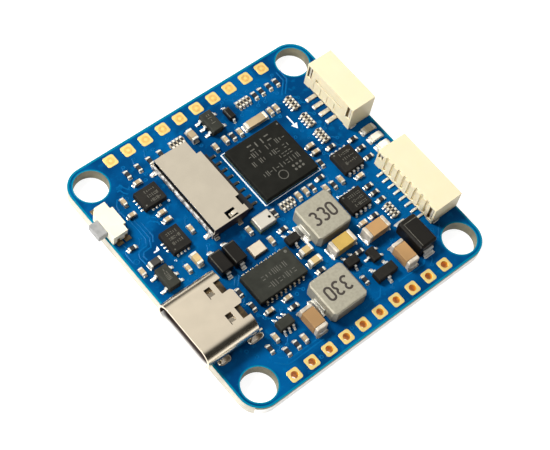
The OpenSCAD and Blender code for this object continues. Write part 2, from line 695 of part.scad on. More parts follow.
module ferrite_bead() color("#2a2724") on_board(bead_spots) chip_middle(bead_size);

module ferrite_bead_terminals() color("#d4d6d8") on_board(bead_spots) chip_ends(bead_size);

module status_leds() color("#e2ddd2") on_board(led_spots) chip_middle(led_size);

module status_led_terminals() color("#cfd0c8") on_board(led_spots)
    chip_ends([led_size[0], led_size[1], 0.4, led_size[3]]);

circuit_board();
top_edge_pads();
bottom_edge_pads();
shell_leg_pads();
usb_shell();
usb_tongue();
usb_contacts();
card_socket_shell();
card_socket_base();
card_socket_contacts();
processor_cap();
processor_substrate();
processor_solder_balls();
boot_switch_case();
boot_switch_base();
boot_switch_terminals();
boot_switch_dome();
boot_button();
eight_pin_housing();
eight_pin_contacts();
eight_pin_anchors();
four_pin_housing();
four_pin_contacts();
four_pin_anchors();
inductor_cores();
inductor_windings();
inductor_terminals();
motion_sensors();
motion_sensor_pads();
pressure_sensor_base();
pressure_sensor_lid();
crystal_base();
crystal_lid();
display_chip();
display_chip_leads();
power_chips();
power_chip_leads();
small_regulators();
small_regulator_leads();
transistors();
transistor_leads();
diodes();
diode_leads();
power_diode();
power_diode_leads();
resistors();
resistor_terminals();
small_capacitors();
small_capacitor_terminals();
medium_capacitors();
medium_capacitor_terminals();
large_capacitors();
large_capacitor_terminals();
resistor_arrays();
resistor_array_terminals();
ferrite_bead();
ferrite_bead_terminals();
status_leds();
status_led_terminals();
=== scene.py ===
import math
import random

import bmesh
import bpy
from mathutils import Matrix, Vector


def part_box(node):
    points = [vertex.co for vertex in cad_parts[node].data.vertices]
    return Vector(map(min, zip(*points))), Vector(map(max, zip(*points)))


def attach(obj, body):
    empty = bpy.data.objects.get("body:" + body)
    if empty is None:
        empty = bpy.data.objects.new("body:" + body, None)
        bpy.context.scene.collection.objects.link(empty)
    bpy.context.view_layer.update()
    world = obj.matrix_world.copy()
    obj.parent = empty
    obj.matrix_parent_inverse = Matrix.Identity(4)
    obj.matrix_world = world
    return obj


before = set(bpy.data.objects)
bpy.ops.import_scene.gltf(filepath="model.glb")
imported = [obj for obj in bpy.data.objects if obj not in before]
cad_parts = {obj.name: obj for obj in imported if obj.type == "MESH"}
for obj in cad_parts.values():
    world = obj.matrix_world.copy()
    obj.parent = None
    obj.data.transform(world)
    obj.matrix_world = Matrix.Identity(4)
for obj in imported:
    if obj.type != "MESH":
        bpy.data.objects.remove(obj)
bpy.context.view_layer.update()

MM = 0.001


def box_mm(name):
    """Lowest and highest corner of a CAD node, in millimetres."""
    low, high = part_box(name)
    return Vector(low) / MM, Vector(high) / MM


BOARD_TOP = box_mm("processor_solder_balls")[0].z
BOARD_HALF = box_mm("circuit_board")[1].x
HOLE_OFFSET = 15.25
HOLE_R = 2.1
CORNER_R = 2.75
INK = 0.012


# ---------------------------------------------------------------- camera and light

def make_camera():
    """Camera at a steep three-quarter angle, rolled a little, looking at the board's middle."""
    azimuth, elevation, roll = (math.radians(a) for a in (52.65, 60.24, 14.65))
    distance = 161.4
    target = Vector((-1.22, -1.12, BOARD_TOP))
    look = Vector((math.sin(azimuth) * math.cos(elevation),
                   math.cos(azimuth) * math.cos(elevation), -math.sin(elevation)))
    level = look.cross(Vector((0, 0, 1))).normalized()
    above = level.cross(look)
    right = level * math.cos(roll) + above * math.sin(roll)
    up = above * math.cos(roll) - level * math.sin(roll)
    data = bpy.data.cameras.new("camera")
    data.sensor_width = 36
    data.lens = 91.74
    data.clip_start, data.clip_end = 0.01, 5
    camera = bpy.data.objects.new("camera", data)
    camera.matrix_world = Matrix((
        (right.x, up.x, -look.x, 0), (right.y, up.y, -look.y, 0),
        (right.z, up.z, -look.z, 0), (0, 0, 0, 1)))
    camera.location = (target - look * distance) * MM
    bpy.context.scene.collection.objects.link(camera)
    bpy.context.scene.camera = camera


def area_light(name, place, size, power, colour=(1, 1, 1)):
    data = bpy.data.lights.new(name, "AREA")
    data.shape = "DISK"
    data.size = size
    data.energy = power
    data.color = colour
    lamp = bpy.data.objects.new(name, data)
    lamp.location = place
    lamp.rotation_euler = (-Vector(place)).to_track_quat("-Z", "Y").to_euler()
    bpy.context.scene.collection.objects.link(lamp)


def make_light():
    """A key from behind, a low side light, and a dim room with one bright panel and a pale horizon."""
    area_light("key", (-0.09, 0.185, 0.25), 0.10, 1.42, (1, 0.985, 0.95))
    area_light("side", (-0.42, -0.06, 0.20), 0.25, 1.6)
    world = bpy.data.worlds.new("studio")
    world.use_nodes = True
    tree = world.node_tree
    coords = node(tree, "ShaderNodeTexCoord")
    split = node(tree, "ShaderNodeSeparateXYZ")
    tree.links.new(coords.outputs["Generated"], split.inputs[0])
    lean = node(tree, "ShaderNodeVectorMath", operation="DOT_PRODUCT")
    tree.links.new(coords.outputs["Generated"], lean.inputs[0])
    lean.inputs[1].default_value = (0.38, 0.29, 0.878)
    panel = ramp(tree, lean.outputs["Value"], 0.72, 0.97, 0.02, 0.78)
    horizon = ramp(tree, split.outputs[2], 0.02, 0.2, 0.9, 0.0)
    background = tree.nodes["Background"]
    background.inputs["Color"].default_value = (1, 1, 1, 1)
    tree.links.new(math_node(tree, "ADD", panel, horizon), background.inputs["Strength"])
    bpy.context.scene.world = world
    bpy.context.scene.view_settings.view_transform = "Standard"


# ---------------------------------------------------------------- materials

def new_material(name):
    material = bpy.data.materials.new(name)
    material.use_nodes = True
    return material, material.node_tree, material.node_tree.nodes["Principled BSDF"]


def node(tree, kind, **values):
    made = tree.nodes.new(kind)
    for key, value in values.items():
        setattr(made, key, value)
    return made


def object_coords(tree, stretch=(1, 1, 1)):
    """Coordinates fixed to the piece, in metres, stretched along its axes."""
    coords = node(tree, "ShaderNodeTexCoord")
    mapping = node(tree, "ShaderNodeMapping")
    mapping.inputs["Scale"].default_value = stretch
    tree.links.new(coords.outputs["Object"], mapping.inputs["Vector"])
    return mapping.outputs["Vector"]


def noise(tree, vector, per_mm, detail=3.0, roughness=0.55):
    made = node(tree, "ShaderNodeTexNoise")
    made.inputs["Scale"].default_value = per_mm / MM
    made.inputs["Detail"].default_value = detail
    made.inputs["Roughness"].default_value = roughness
    tree.links.new(vector, made.inputs["Vector"])
    return made.outputs["Fac"]


def mix(tree, factor, first, second):
    """Colour between two, each a tuple or a socket."""
    made = node(tree, "ShaderNodeMix", data_type="RGBA")
    sockets = [s for s in made.inputs if s.enabled]
    for socket, value in zip(sockets, (factor, first, second)):
        if hasattr(value, "is_output"):
            tree.links.new(value, socket)
        else:
            socket.default_value = (*value, 1)
    return next(s for s in made.outputs if s.enabled)


def ramp(tree, factor, low, high, from_value=0.0, to_value=1.0):
    made = node(tree, "ShaderNodeMapRange", interpolation_type="SMOOTHSTEP")
    tree.links.new(factor, made.inputs["Value"])
    made.inputs["From Min"].default_value = low
    made.inputs["From Max"].default_value = high
    made.inputs["To Min"].default_value = from_value
    made.inputs["To Max"].default_value = to_value
    return made.outputs["Result"]


def math_node(tree, operation, *values):
    made = node(tree, "ShaderNodeMath", operation=operation)
    for socket, value in zip(made.inputs, values):
        if hasattr(value, "is_output"):
            tree.links.new(value, socket)
        else:
            socket.default_value = value
    return made.outputs[0]


def add_bump(tree, shader, height, strength, depth_mm=0.01):
    bump = node(tree, "ShaderNodeBump")
    bump.inputs["Strength"].default_value = strength
    bump.inputs["Distance"].default_value = depth_mm * MM
    tree.links.new(height, bump.inputs["Height"])
    tree.links.new(bump.outputs["Normal"], shader.inputs["Normal"])


def surface(name, colour, rough, metallic=0.0, specular=0.5, tone=0.08, tone_per_mm=0.5,
            grain_per_mm=20, grain=0.15, spread=0.06, stretch=(1, 1, 1), second=None, glow=0.0):
    """A procedural finish: slow drift of tone, fine grain in bump and in roughness."""
    material, tree, shader = new_material(name)
    vector = object_coords(tree, stretch)
    drift = ramp(tree, noise(tree, vector, tone_per_mm), 0.3, 0.7)
    light = second or tuple(min(1.0, c * (1 + tone)) for c in colour)
    dark = colour if second else tuple(c * (1 - tone) for c in colour)
    tree.links.new(mix(tree, drift, dark, light), shader.inputs["Base Color"])
    fine = noise(tree, vector, grain_per_mm, detail=4)
    tree.links.new(ramp(tree, fine, 0.25, 0.75, max(0.02, rough - spread), rough + spread),
                   shader.inputs["Roughness"])
    add_bump(tree, shader, fine, grain)
    shader.inputs["Metallic"].default_value = metallic
    shader.inputs["Specular IOR Level"].default_value = specular
    if glow:
        shader.inputs["Subsurface Weight"].default_value = 0.3
        shader.inputs["Subsurface Radius"].default_value = (1, 0.8, 0.5)
        shader.inputs["Subsurface Scale"].default_value = glow * MM
    return material


def board_mask():
    """Blue solder mask: paler over bare laminate along the edge and round the mounting holes."""
    material, tree, shader = new_material("solder_mask")
    vector = object_coords(tree)
    split = node(tree, "ShaderNodeSeparateXYZ")
    tree.links.new(vector, split.inputs[0])
    ax = math_node(tree, "ABSOLUTE", split.outputs[0])
    ay = math_node(tree, "ABSOLUTE", split.outputs[1])

    def distance(offset, clamp):
        dx = math_node(tree, "SUBTRACT", ax, offset * MM)
        dy = math_node(tree, "SUBTRACT", ay, offset * MM)
        if clamp:
            dx = math_node(tree, "MAXIMUM", dx, 0.0)
            dy = math_node(tree, "MAXIMUM", dy, 0.0)
        squares = math_node(tree, "ADD", math_node(tree, "MULTIPLY", dx, dx),
                            math_node(tree, "MULTIPLY", dy, dy))
        return math_node(tree, "SQRT", squares)

    rim = ramp(tree, distance(BOARD_HALF - CORNER_R, True), (CORNER_R - 0.32) * MM, (CORNER_R - 0.18) * MM)
    ring = ramp(tree, distance(HOLE_OFFSET, False), (HOLE_R + 0.22) * MM, (HOLE_R + 0.10) * MM)
    bare = math_node(tree, "MAXIMUM", rim, ring)
    cloud = ramp(tree, noise(tree, vector, 0.2, detail=3), 0.38, 0.64)
    copper = mix(tree, cloud, (0.0, 0.038, 0.130), (0.0, 0.077, 0.233))
    streaks = ramp(tree, noise(tree, vector, 1.1, detail=3), 0.55, 0.72)
    worn = mix(tree, math_node(tree, "MULTIPLY", streaks, 0.4), copper, (0.0, 0.12, 0.31))
    tree.links.new(mix(tree, bare, worn, (0.0, 0.165, 0.27)), shader.inputs["Base Color"])
    weave = noise(tree, vector, 5, detail=3)
    tree.links.new(ramp(tree, weave, 0.3, 0.7, 0.30, 0.42), shader.inputs["Roughness"])
    add_bump(tree, shader, weave, 0.12)
    shader.inputs["Specular IOR Level"].default_value = 0.02
    return material


def laminate_edge(name, resin, glass, brow):
    """Sawn glass-fibre edge: thin layers, a slightly ragged tone, and a brow under the mask, which on the pale -Y
    edge is dark painted shade.
    """
    material, tree, shader = new_material(name)
    vector = object_coords(tree, (1, 1, 9))
    layers = ramp(tree, noise(tree, vector, 1.2, detail=5, roughness=0.7), 0.35, 0.65)
    split = node(tree, "ShaderNodeSeparateXYZ")
    tree.links.new(object_coords(tree), split.inputs[0])
    near_top = ramp(tree, split.outputs[2], (BOARD_TOP - 0.5) * MM, (BOARD_TOP - 0.3) * MM)
    tree.links.new(mix(tree, near_top, mix(tree, layers, resin, glass), brow), shader.inputs["Base Color"])
    add_bump(tree, shader, layers, 0.4)
    shader.inputs["Roughness"].default_value = 0.75
    return material


def shell_floor():
    """Floor inside the USB shell: bright where daylight falls in at the mouth, dark beyond."""
    material, tree, shader = new_material("usb_shell_floor")
    split = node(tree, "ShaderNodeSeparateXYZ")
    tree.links.new(object_coords(tree), split.inputs[0])
    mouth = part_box("usb_shell")[0].x
    deep = ramp(tree, split.outputs[0], mouth + 0.15 * MM, mouth + 0.6 * MM)
    tree.links.new(mix(tree, deep, (0.97, 0.95, 0.92), (0.05, 0.032, 0.03)), shader.inputs["Base Color"])
    shader.inputs["Roughness"].default_value = 0.55
    return material


def make_materials():
    return {
        "mask": board_mask(),
        "relief": surface("mask_over_copper", (0.0, 0.088, 0.25), 0.30, specular=0.05, tone=0.1, tone_per_mm=1),
        "edge": laminate_edge("laminate_edge", (0.50, 0.46, 0.37), (0.62, 0.58, 0.49), (0.48, 0.46, 0.38)),
        # The -Y edge: pale laminate as painted light, with a dark brown brow of painted shade at the top.
        "painted_light_edge": laminate_edge("laminate_edge_painted_light_and_shade", (0.86, 0.84, 0.80), (0.95, 0.93, 0.90),
                                  (0.17, 0.15, 0.08)),
        "gold": surface("gold_plate", (0.86, 0.645, 0.225), 0.38, 0.7, tone=0.05, tone_per_mm=1.5, grain=0.2),
        # Barrel gold: dark and bright orange patches as painted shade and painted reflection inside the holes.
        "barrel_gold_painted_shade": surface("barrel_gold_painted_shade", (0.50, 0.215, 0.004), 0.5, 0.1, specular=0.2, tone_per_mm=1.6,
                             second=(0.95, 0.45, 0.012)),
        # Deeper gold for the pad rings: painted shade.
        "pad_ring_painted_shade": surface("pad_ring_painted_shade", (0.80, 0.47, 0.13), 0.42, 0.6, tone=0.15, tone_per_mm=2.5),
        "solder": surface("solder", (0.64, 0.62, 0.56), 0.32, 0.85, tone=0.14, tone_per_mm=3,
                          grain_per_mm=7, grain=0.35, spread=0.08),
        "tin": surface("tin_plate", (0.74, 0.73, 0.68), 0.42, 0.75, tone=0.08, grain=0.3),
        "foot_tin": surface("tinned_foot", (0.62, 0.57, 0.49), 0.36, 0.8, tone=0.25, tone_per_mm=1.2),
        # Darker tin: painted shade on the display chip's leads and the cover's foot fillets.
        "tin_in_shade": surface("tin_plate_painted_shade", (0.42, 0.37, 0.28), 0.40, 0.85, tone=0.12, tone_per_mm=1.5),
        # Dark brown plate: painted shade inside the USB leg slots; on the switch terminals, their darker tone.
        "brown_tin": surface("dark_brown_plate", (0.17, 0.125, 0.07), 0.35, 0.85, tone=0.3, tone_per_mm=2),
        "large_ends": surface("large_end_caps", (0.55, 0.49, 0.40), 0.5, 0.3, tone=0.2, tone_per_mm=1.4,
                              grain_per_mm=9, grain=0.4, spread=0.1),
        "chip_ends": surface("chip_end_caps", (0.71, 0.67, 0.575), 0.45, 0.35, tone=0.12, tone_per_mm=2.5,
                             grain_per_mm=9, grain=0.6, spread=0.1),
        "usb_steel": surface("usb_shell_plate", (0.87, 0.755, 0.58), 0.24, 1.0, tone=0.02, grain=0.0,
                             spread=0.015, grain_per_mm=0.5),
        # Near-black brown for the insides of the shells: painted shade.
        "shell_painted_shade": surface("shell_inside_painted_shade", (0.055, 0.034, 0.032), 0.45, 0.6),
        "usb_floor": shell_floor(),
        # Card lip: patches of near-black and near-white, painted shade and painted light at the socket's mouth.
        "lip_painted_light_and_shade": surface("card_lip", (0.10, 0.09, 0.075), 0.45, 0.3, tone_per_mm=1.6,
                             second=(0.92, 0.89, 0.84)),
        "card_steel": surface("card_cover_plate", (0.78, 0.69, 0.54), 0.24, 1.0, tone=0.02, grain=0.0,
                              spread=0.015, grain_per_mm=0.5),
        "spring": surface("spring_steel", (0.6, 0.6, 0.6), 0.3, 1.0),
        "contact": surface("contact_gold", (0.85, 0.60, 0.24), 0.32, 1.0),
        "dark_contact": surface("contact_in_shadow", (0.035, 0.030, 0.022), 0.45, 0.5),
        "copper": surface("enamelled_copper", (0.72, 0.30, 0.12), 0.35, 1.0),
        "bronze": surface("connector_core", (0.012, 0.009, 0.006), 0.5, specular=0.15, tone_per_mm=1.1,
                          second=(0.085, 0.056, 0.024)),
        # Mounting-hole walls: dark brown-grey as painted shade inside the holes.
        "hole_wall": surface("hole_wall_painted_shade", (0.145, 0.132, 0.08), 0.6, tone=0.3, tone_per_mm=0.4),
        "black": surface("black_plastic", (0.012, 0.012, 0.013), 0.5, specular=0.25, tone=0.2),
        "mould": surface("mould_compound", (0.017, 0.0155, 0.013), 0.6, specular=0.1, tone=0.2,
                         tone_per_mm=0.8, grain_per_mm=16, grain=0.5),
        "grey_mould": surface("grey_mould_compound", (0.0118, 0.0118, 0.0097), 0.62, specular=0.06,
                              tone=0.14, tone_per_mm=0.8, grain_per_mm=16, grain=0.5),
        "pale_mould": surface("pale_mould_compound", (0.030, 0.031, 0.025), 0.62, specular=0.1,
                              tone=0.14, tone_per_mm=0.8, grain_per_mm=16, grain=0.5),
        "glossy_mould": surface("diode_mould_compound", (0.0085, 0.0072, 0.0052), 0.33, specular=0.2,
                                tone=0.15, grain_per_mm=12, grain=0.3),
        "laminate": surface("package_laminate", (0.02, 0.05, 0.03), 0.5),
        "white": surface("switch_plastic", (0.74, 0.70, 0.56), 0.42, specular=0.3, tone=0.02, glow=0.25),
        "grey": surface("button_plastic", (0.26, 0.26, 0.255), 0.45, tone=0.12, tone_per_mm=1.2, grain=0.5),
        "nylon": surface("cream_nylon", (0.745, 0.660, 0.450), 0.46, specular=0.35, tone=0.015,
                         tone_per_mm=0.25, grain_per_mm=8, grain=0.12, glow=0.35),
        "anchor": surface("anchor_plate", (0.62, 0.57, 0.46), 0.5, 0.2, tone=0.2, tone_per_mm=1.5),
        "shaded_nylon": surface("nylon_in_shade", (0.27, 0.20, 0.105), 0.5, tone=0.25, tone_per_mm=1),
        "bead": surface("bead_ferrite", (0.028, 0.024, 0.020), 0.5, tone=0.15, tone_per_mm=1.5),
        "ferrite": surface("pressed_alloy", (0.365, 0.340, 0.262), 0.46, metallic=0.4, tone=0.08,
                           tone_per_mm=3, grain_per_mm=22, grain=0.8),
        # Browner alloy for the cores' -Y sides: painted shade.
        "ferrite_painted_shade": surface("pressed_alloy_painted_shade", (0.19, 0.17, 0.125), 0.5, metallic=0.3, tone=0.15,
                                tone_per_mm=1, grain_per_mm=22, grain=0.8),
        "lid": surface("sensor_lid", (0.72, 0.67, 0.57), 0.36, 0.8, tone=0.03),
        "cream_lid": surface("crystal_lid", (0.66, 0.57, 0.44), 0.42, 0.4, tone=0.04, tone_per_mm=2),
        "ceramic_dark": surface("dark_ceramic", (0.06, 0.05, 0.04), 0.5),
        "film": surface("resistor_glass", (0.012, 0.012, 0.013), 0.35, tone=0.2, tone_per_mm=1.5),
        "tan": surface("tan_ceramic", (0.37, 0.208, 0.078), 0.42, tone=0.2, tone_per_mm=0.12,
                       grain_per_mm=25, grain=0.3),
        "tan_small": surface("pale_ceramic", (0.38, 0.285, 0.165), 0.45, tone=0.3, tone_per_mm=0.14,
                             grain_per_mm=25, grain=0.3),
        "yellow": surface("yellow_ceramic", (0.46, 0.30, 0.062), 0.38, tone=0.08, grain_per_mm=25),
        "khaki": surface("khaki_ceramic", (0.52, 0.38, 0.17), 0.42, tone=0.1, grain_per_mm=25),
        "led": surface("led_resin", (0.80, 0.76, 0.64), 0.22, specular=0.5, tone=0.06, tone_per_mm=1, glow=0.2),
        "array_ceramic": surface("array_ceramic", (0.36, 0.31, 0.22), 0.5, tone=0.15, tone_per_mm=2),
        "amber_led": surface("amber_led_resin", (0.40, 0.35, 0.23), 0.3, tone=0.12, tone_per_mm=1.5),
        "ink": surface("white_ink", (0.86, 0.93, 0.97), 0.6, tone=0.04, tone_per_mm=4),
        "laser": surface("laser_mark", (0.088, 0.085, 0.070), 0.7, tone=0.3, tone_per_mm=5),
        "faint_laser": surface("faint_laser_mark", (0.10, 0.095, 0.075), 0.7, tone=0.35, tone_per_mm=5),
        "dark_ink": surface("dark_ink", (0.030, 0.022, 0.016), 0.6, tone=0.2, tone_per_mm=4),
    }


# ---------------------------------------------------------------- mesh helpers

def add_piece(name, mesh_bm, materials, smooth=30, body="board"):
    """Turns a bmesh drawn in millimetres into a piece that rides on a body."""
    bmesh.ops.recalc_face_normals(mesh_bm, faces=mesh_bm.faces)
    bmesh.ops.scale(mesh_bm, vec=(MM, MM, MM), verts=mesh_bm.verts)
    mesh = bpy.data.meshes.new(name)
    mesh_bm.to_mesh(mesh)
    mesh_bm.free()
    for material in materials:
        mesh.materials.append(material)
    mesh.shade_smooth()
    mesh.set_sharp_from_angle(angle=math.radians(smooth))
    piece = bpy.data.objects.new(name, mesh)
    bpy.context.scene.collection.objects.link(piece)
    if body:
        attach(piece, body)
    return piece


def islands(name):
    """Lowest and highest corners, in millimetres, of the separate solids in a CAD node."""
    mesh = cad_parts[name].data
    keys = {}
    index = [keys.setdefault(tuple(round(c * 1e6) for c in v.co), len(keys)) for v in mesh.vertices]
    parent = list(range(len(keys)))

    def root(i):
        while parent[i] != i:
            parent[i] = parent[parent[i]]
            i = parent[i]
        return i

    for face in mesh.polygons:
        first = root(index[face.vertices[0]])
        for v in face.vertices[1:]:
            parent[root(index[v])] = first
    boxes = {}
    for v in mesh.vertices:
        low, high = boxes.setdefault(root(index[v.index]), ([1e9] * 3, [-1e9] * 3))
        for axis in range(3):
            low[axis] = min(low[axis], v.co[axis] / MM)
            high[axis] = max(high[axis], v.co[axis] / MM)
    return [(Vector(low), Vector(high)) for low, high in boxes.values()]


def dress(name, materials, width=0.0, segments=2, smooth=35, chooser=None):
    """Gives a CAD node its materials and rounds its sharp edges by width, in millimetres."""
    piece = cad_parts[name]
    mesh = piece.data
    mesh.materials.clear()
    for material in materials:
        mesh.materials.append(material)
    if chooser:
        for face in mesh.polygons:
            face.material_index = chooser(face.center / MM, face.normal)
    if "custom_normal" in mesh.attributes:
        mesh.attributes.remove(mesh.attributes["custom_normal"])
    mesh.shade_smooth()
    weld = piece.modifiers.new("weld", "WELD")
    weld.merge_threshold = 0.0005 * MM
    if width:
        planar = piece.modifiers.new("planar", "DECIMATE")
        planar.decimate_type = "DISSOLVE"
        planar.angle_limit = math.radians(0.5)
        planar.delimit = {"MATERIAL"}
        bevel = piece.modifiers.new("round", "BEVEL")
        bevel.width = width * MM
        bevel.segments = segments
        bevel.limit_method = "ANGLE"
        bevel.angle_limit = math.radians(smooth)
        bevel.harden_normals = True
        bevel.use_clamp_overlap = True
    else:
        split = piece.modifiers.new("creases", "EDGE_SPLIT")
        split.split_angle = math.radians(smooth)
    return piece


def ribbon(bm, points, width, base, height=INK, closed=False, ease=0.12):
    """A flat band that follows points in the board's plane, with mitred corners."""
    count = len(points)
    rows = []
    for i, point in enumerate(points):
        before = points[i - 1] if closed or i else point
        after = points[(i + 1) % count] if closed or i < count - 1 else point
        into = Vector(point) - Vector(before)
        out = Vector(after) - Vector(point)
        into = into.normalized() if into.length > 1e-9 else out.normalized()
        out = out.normalized() if out.length > 1e-9 else into
        middle = (into + out).normalized()
        side = Vector((-middle.y, middle.x)) / max(0.4, middle.dot(out))
        row = []
        for across, lift in ((-1, 0), (-1 + ease, 1), (1 - ease, 1), (1, 0)):
            place = Vector(point) + side * across * width / 2
            row.append(bm.verts.new((place.x, place.y, base + lift * height)))
        rows.append(row)
    for first, second in list(zip(rows, rows[1:])) + ([(rows[-1], rows[0])] if closed else []):
        for k in range(4):
            bm.faces.new((first[k], first[(k + 1) % 4], second[(k + 1) % 4], second[k]))
    if not closed:
        bm.faces.new(rows[0])
        bm.faces.new(rows[-1][::-1])


def arc(cx, cy, r, start, end, steps=10):
    return [(cx + r * math.cos(math.radians(start + (end - start) * i / steps)),
             cy + r * math.sin(math.radians(start + (end - start) * i / steps))) for i in range(steps + 1)]


def prism(bm, outline, base, height, taper=1.0):
    """A flat plate over an outline, drawn in a little at its top."""
    cx = sum(p[0] for p in outline) / len(outline)
    cy = sum(p[1] for p in outline) / len(outline)
    low = [bm.verts.new((x, y, base)) for x, y in outline]
    high = [bm.verts.new((cx + (x - cx) * taper, cy + (y - cy) * taper, base + height)) for x, y in outline]
    count = len(outline)
    bm.faces.new(high)
    bm.faces.new(low[::-1])
    for i in range(count):
        bm.faces.new((low[i], low[(i + 1) % count], high[(i + 1) % count], high[i]))


def disc(bm, cx, cy, r, base, height=INK, steps=16):
    prism(bm, arc(cx, cy, r, 0, 360, steps)[:-1], base, height, 0.96)


def mound(bm, foot, out, length, width, tall, back=0.0, low=0.025):
    """A solder fillet: tall beside a terminal, falling in a hollow curve to the pad's outer edge.

    foot is the middle of the terminal's end at board level and out points away from it."""
    out = Vector((out[0], out[1], 0))
    side = Vector((-out.y, out.x, 0))
    steps = 5
    spread = (-1, -0.7, 0, 0.7, 1)
    rows = []
    for i in range(steps + 1):
        s = i / steps
        wide = width * (0.86 + 0.14 * math.sin(s * math.pi)) * (0.82 if i == steps else 1)
        lift = low + (tall - low) * (1 - s) ** 2
        place = Vector(foot) + out * (-back + (length + back) * s)
        rows.append([bm.verts.new(place + side * a * wide / 2
                                  + Vector((0, 0, low * 0.4 + lift * (1 - abs(a) ** 3 * 0.8))))
                     for a in spread])
    skirts = [[bm.verts.new((row[k].co.x, row[k].co.y, foot[2])) for k in (0, -1)] for row in rows]
    for a, b, sa, sb in zip(rows, rows[1:], skirts, skirts[1:]):
        for k in range(len(spread) - 1):
            bm.faces.new((a[k], a[k + 1], b[k + 1], b[k]))
        bm.faces.new((a[0], b[0], sb[0], sa[0]))
        bm.faces.new((b[-1], a[-1], sa[1], sb[1]))
        bm.faces.new((sa[0], sb[0], sb[1], sa[1]))
    bm.faces.new((skirts[0][0], skirts[0][1], *rows[0][::-1]))
    bm.faces.new((skirts[-1][1], skirts[-1][0], *rows[-1]))


# ---------------------------------------------------------------- CAD nodes and their finishes

PLAIN = {
    "top_edge_pads": ("gold", 0.02), "shell_leg_pads": ("brown_tin", 0.02),
    "usb_tongue": ("bronze", 0.05), "usb_contacts": ("contact", 0.02),
    "card_socket_base": ("black", 0.03), "card_socket_contacts": ("dark_contact", 0.02),
    "processor_cap": ("grey_mould", 0.05), "processor_substrate": ("laminate", 0.03),
    "processor_solder_balls": ("solder", 0),
    "boot_switch_case": ("white", 0.07), "boot_switch_base": ("white", 0.03),
    "boot_switch_terminals": ("brown_tin", 0.03), "boot_switch_dome": ("spring", 0),
    "boot_button": ("grey", 0.07),
    "eight_pin_contacts": ("tin", 0.03), "eight_pin_anchors": ("anchor", 0.03),
    "four_pin_contacts": ("foot_tin", 0.03), "four_pin_anchors": ("anchor", 0.03),
    "inductor_windings": ("copper", 0), "inductor_terminals": ("tin", 0.03),
    "motion_sensors": ("mould", 0.03), "motion_sensor_pads": ("tin", 0),
    "pressure_sensor_base": ("laminate", 0.03), "pressure_sensor_lid": ("lid", 0.05),
    "crystal_base": ("ceramic_dark", 0.03), "crystal_lid": ("cream_lid", 0.04),
    # The display chip's leads take the darker tin, painted shade.
    "display_chip": ("pale_mould", 0.04), "display_chip_leads": ("tin_in_shade", 0.03),
    "power_chips": ("mould", 0.04), "power_chip_leads": ("tin", 0.03),
    "small_regulators": ("pale_mould", 0.05), "small_regulator_leads": ("tin", 0.03),
    "transistors": ("mould", 0.04), "transistor_leads": ("tin", 0.03),
    "diodes": ("glossy_mould", 0.08), "diode_leads": ("tin", 0.03),
    "power_diode": ("glossy_mould", 0.09), "power_diode_leads": ("tin", 0.03),
    "resistors": ("film", 0.02), "resistor_terminals": ("chip_ends", 0.04),
    "small_capacitors": ("tan_small", 0.02), "small_capacitor_terminals": ("chip_ends", 0.05),
    "medium_capacitor_terminals": ("chip_ends", 0.07), "large_capacitor_terminals": ("large_ends", 0.12),
    "resistor_arrays": ("array_ceramic", 0.02), "resistor_array_terminals": ("chip_ends", 0.03),
    "ferrite_bead": ("bead", 0.03), "ferrite_bead_terminals": ("chip_ends", 0.06),
    "status_led_terminals": ("chip_ends", 0.04),
}


def dress_plain_nodes():
    for name, (finish, width) in PLAIN.items():
        dress(name, [MATS[finish]], width)


def dress_board():
    """Mask on both faces, laminate round the sides, and beside the wire holes a pale edge of painted light under a
    brown brow of painted shade.
    """
    def side(centre, normal):
        if abs(normal.z) > 0.7:
            return 0
        from_hole = math.hypot(abs(centre.x) - HOLE_OFFSET, abs(centre.y) - HOLE_OFFSET)
        # Mounting-hole walls take the dark painted shade.
        if from_hole < HOLE_R + 0.1:
            return 2
        # Faces towards -Y take the pale edge: painted light under a brow of painted shade.
        return 3 if normal.y < -0.7 else 1
    dress("circuit_board", [MATS["mask"], MATS["edge"], MATS["hole_wall"], MATS["painted_light_edge"]], 0.05, chooser=side)


def dress_edge_holes():
    """Gold pads whose barrels are a deeper orange gold: painted shade and painted reflection inside the holes."""
    dress("bottom_edge_pads", [MATS["gold"], MATS["barrel_gold_painted_shade"]], 0.02,
          chooser=lambda centre, normal: 1 if abs(normal.z) < 0.5 and 0.05 < centre.z < BOARD_TOP else 0)


def dress_usb_shell():
    low, high = box_mm("usb_shell")
    middle = Vector((0, (low.y + high.y) / 2, (BOARD_TOP + high.z) / 2))

    def inside(centre, normal):
        inward = (centre - middle).dot(Vector((0, normal.y, normal.z))) < 0 and abs(normal.x) < 0.5
        if not inward:
            return 0
        # Upper inner faces take the dark painted shade; lower ones the shell floor.
        return 1 if centre.z > middle.z - 0.6 else 2
    dress("usb_shell", [MATS["usb_steel"], MATS["shell_painted_shade"], MATS["usb_floor"]], 0.05, smooth=15,
          chooser=inside)


def dress_card_shell():
    low, high = box_mm("card_socket_shell")

    def inside(centre, normal):
        # Low faces at the mouth take the lip's painted light and shade.
        if centre.z < BOARD_TOP + 1.0 and centre.x < low.x + 1.2 and (normal.z > 0.5 or normal.x < -0.5):
            return 2
        # The -Y side below the roof and the roof's underside take the dark painted shade.
        if normal.y < -0.5 and centre.y < low.y + 0.5 and centre.z < high.z - 0.15:
            return 1
        return 1 if normal.z < -0.5 and centre.z > high.z - 0.2 else 0
    dress("card_socket_shell", [MATS["card_steel"], MATS["shell_painted_shade"], MATS["lip_painted_light_and_shade"]], 0.045, smooth=15,
          chooser=inside)


